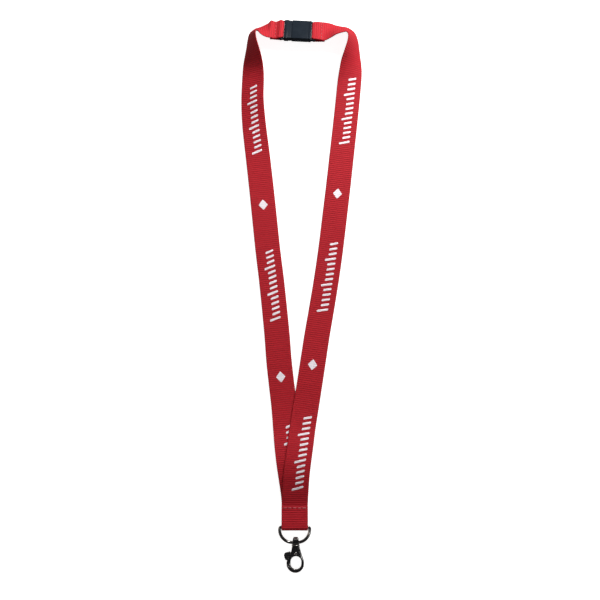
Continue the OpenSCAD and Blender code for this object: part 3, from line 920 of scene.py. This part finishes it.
def round_eye(points):
    """Narrows the eye to an arch over the ring's wire, and beads its collar."""
    x, y, z = points[:, 0] - HOOK_X, points[:, 1], points[:, 2] - HOOK_Z
    up = np.clip((y - EYE_FOOT_Y) / EYE_RISE, 0, 1)
    bead = 0.14 * np.exp(-(((y - COLLAR_Y) / 0.3) ** 2))
    found = points.copy()
    found[:, 0] = HOOK_X + x * (0.3 + 0.8 * np.sqrt(1 - up**2) + bead)
    found[:, 2] = HOOK_Z + z * (1 + bead * (np.abs(z) < 2.8))
    return found


hook = cast_from("hook_body", "hook_casting", 0.12, 10, crown_hook)
lever = cast_from("trigger_lever", "trigger_casting", 0.11, 8, crown_lever)
eye = cast_from("swivel_eye", "swivel_casting", 0.1, 7, round_eye)


def rivet():
    """The trigger's pin, with a low dome peened on each end. Its profile is (radius, height)."""
    profile = [(0.05, 2.62), (0.45, 2.56), (0.8, 2.4), (0.95, 2.24), (0.72, 2.2), (0.7, 0)]
    profile += [(r, -z) for r, z in reversed(profile)]
    a = np.linspace(0, 2 * math.pi, RIVET_SIDES, endpoint=False)
    shells = Shells()
    shells.loft(profile, lambda p: np.stack([
        PIVOT[0] + p[0] * np.cos(a), PIVOT[1] + p[0] * np.sin(a),
        np.full(RIVET_SIDES, HOOK_Z + p[1])], axis=-1))
    return shells.build("trigger_rivet")


pin = rivet()
paint(pin, RIVET)
paint(frame["nodes"]["trigger_spring"], STEEL)


# ---------------------------------------------------------------- bodies, and the CAD nodes that these pieces stand in for
for piece in (strap_left, print_left):
    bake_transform(piece)
for piece, body in (
    (strap_right, "loop"), (print_right, "loop"), (tab, "loop"), (stitch_tab, "loop"),
    (stitch_right, "loop"), (socket, "loop"), (stitch_left, "plug_side"), (plug, "plug_side"),
    (ring, "ring"), (eye, "eye"), (hook, "hook"), (pin, "hook"), (lever, "trigger"),
):
    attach(piece, body)

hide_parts("strap_left_lower", "strap_left_middle", "strap_left_upper")
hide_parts("strap_right_lower", "strap_right_upper")
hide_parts("end_tab")
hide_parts("tab_stitching")
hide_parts("buckle_stitching_left")
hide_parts("buckle_stitching_right")
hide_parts("buckle_socket")
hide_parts("buckle_plug")
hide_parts("d_ring")
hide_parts("swivel_eye")
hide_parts("hook_body")
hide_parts("trigger_lever")
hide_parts("trigger_pin")


# ---------------------------------------------------------------- stage, light and camera
FLOOR_SIZE = 6                # this and the lights' places and sizes are in metres
FLOOR_Z = -0.0002             # just under the webbing, so that the two don't share a plane


def floor():
    bpy.ops.mesh.primitive_plane_add(size=FLOOR_SIZE, location=(0, 0.2, FLOOR_Z))
    made = bpy.context.object
    made.name = "floor"
    made.visible_diffuse = False
    made.visible_glossy = False
    made.data.materials.append(floor_material())


def facing(place, aim):
    """Rotation that points a light's -Z from place to aim."""
    return (Vector(aim) - Vector(place)).to_track_quat("-Z", "Y").to_euler()


def area_light(name, place, aim, size, energy, colour, glossy=True):
    """A rectangular lamp. One that isn't glossy lights the object and doesn't reflect in it."""
    data = bpy.data.lights.new(name, "AREA")
    data.shape = "RECTANGLE"
    data.size, data.size_y = size
    data.energy = energy
    data.color = colour
    made = bpy.data.objects.new(name, data)
    made.location = place
    made.rotation_euler = facing(place, aim)
    made.visible_glossy = glossy
    bpy.context.collection.objects.link(made)


def world():
    """Grey from the horizon down and dark overhead, for the metal to reflect."""
    made = bpy.data.worlds.new("studio")
    made.use_nodes = True
    tree = made.node_tree
    back = tree.nodes["Background"]
    place = tree.nodes.new("ShaderNodeTexCoord")
    axes = tree.nodes.new("ShaderNodeSeparateXYZ")
    ramp = tree.nodes.new("ShaderNodeValToRGB")
    tree.links.new(place.outputs["Generated"], axes.inputs[0])
    tree.links.new(axes.outputs[2], ramp.inputs[0])
    tree.links.new(ramp.outputs[0], back.inputs["Color"])
    stops = ramp.color_ramp.elements
    stops[0].position, stops[0].color = 0.1, (0.29, 0.27, 0.26, 1)
    stops[1].position, stops[1].color = 0.75, (0.03, 0.03, 0.035, 1)
    back.inputs["Strength"].default_value = 1.0
    bpy.context.scene.world = made


CAMERA_TILT = math.radians(8.5)
CAMERA_DISTANCE = 620.0
CAMERA_AIM = (4.0, 168.0)     # where its line of sight meets the table
FOCAL_PIXELS = 784.0
FRAME_PIXELS = 600.0
SENSOR_W = 36.0


def camera():
    data = bpy.data.cameras.new("camera")
    data.sensor_width = SENSOR_W
    data.lens = FOCAL_PIXELS / FRAME_PIXELS * SENSOR_W
    made = bpy.data.objects.new("camera", data)
    made.location = (
        CAMERA_AIM[0] * MM,
        (CAMERA_AIM[1] - CAMERA_DISTANCE * math.sin(CAMERA_TILT)) * MM,
        CAMERA_DISTANCE * math.cos(CAMERA_TILT) * MM,
    )
    made.rotation_euler = (CAMERA_TILT, 0, 0)
    bpy.context.collection.objects.link(made)
    bpy.context.scene.camera = made


floor()
world()
area_light("lamp", (0.25, 0.72, 0.38), (0, 0.2, 0), (0.2, 0.2), 5.8, (1.0, 0.98, 0.96))
area_light("fill", (0, 0.5, 1.1), (0, 0.3, 0), (1.4, 1.4), 0.7, (1.0, 0.98, 1.0), glossy=False)
area_light("strip", (0.3, -0.15, 0.35), (0, -0.02, 0), (0.06, 0.4), 0.3, (1.0, 1.0, 1.0))
area_light("warm", (-0.4, 0.05, 0.2), (0, 0.0, 0), (0.1, 0.4), 0.3, (1.0, 0.86, 0.72))
camera()
bpy.context.scene.view_settings.view_transform = "Standard"
